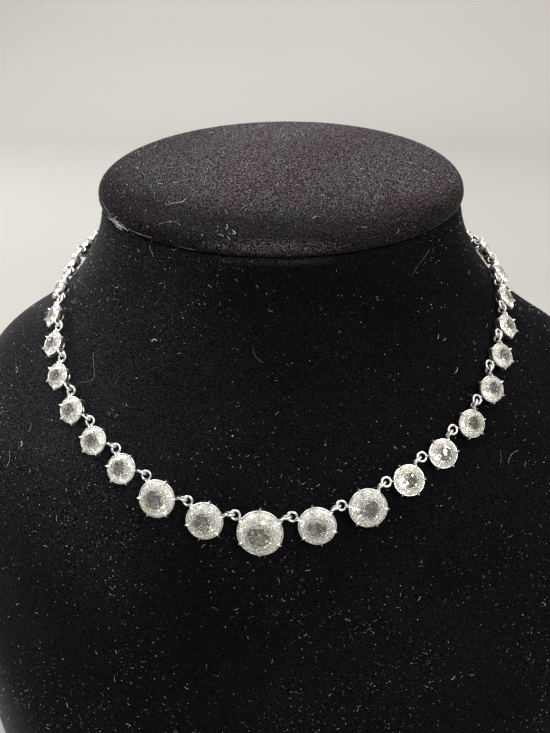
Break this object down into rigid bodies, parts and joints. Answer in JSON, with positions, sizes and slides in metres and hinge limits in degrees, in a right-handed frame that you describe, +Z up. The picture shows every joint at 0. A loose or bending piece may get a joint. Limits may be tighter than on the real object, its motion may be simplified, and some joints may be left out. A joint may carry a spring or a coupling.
{
  "type": "riviere necklace on a neck bust",
  "caption": "Graduated riviere necklace of round cut stones in open claw settings hooked ring to ring, lying fastened round a plain velvet neck bust.",
  "frame": {"origin": "on the bust's flat base, under the middle of the neck's top", "axes": "+Z up, the bust faces -Y, +X to the right as seen from the front"},
  "size_m": [0.236, 0.1189, 0.2034],
  "materials": {
    "velvet": "black velvet pile",
    "silver": "old silver, bright on the edges and grey in the hollows",
    "crystal": "clear cut glass stone"
  },
  "bodies": {
    "root": {"bust_form": "velvet", "neck_cap": "velvet", "setting_centre": "silver", "stone_centre": "crystal", "setting_left_1": "silver", "setting_left_2": "silver", "setting_left_3": "silver", "setting_left_4": "silver", "setting_left_5": "silver", "setting_left_6": "silver", "setting_left_7": "silver", "setting_left_8": "silver", "setting_left_9": "silver", "setting_right_1": "silver", "setting_right_2": "silver", "setting_right_3": "silver", "setting_right_4": "silver", "setting_right_5": "silver", "setting_right_6": "silver", "setting_right_7": "silver", "setting_right_8": "silver", "setting_right_9": "silver", "stone_left_1": "crystal", "stone_left_2": "crystal", "stone_left_3": "crystal", "stone_left_4": "crystal", "stone_left_5": "crystal", "stone_left_6": "crystal", "stone_left_7": "crystal", "stone_left_8": "crystal", "stone_left_9": "crystal", "stone_right_1": "crystal", "stone_right_2": "crystal", "stone_right_3": "crystal", "stone_right_4": "crystal", "stone_right_5": "crystal", "stone_right_6": "crystal", "stone_right_7": "crystal", "stone_right_8": "crystal", "stone_right_9": "crystal", "back_settings": "silver", "back_stones": "crystal", "clasp": "silver"}
  },
  "joints": []
}
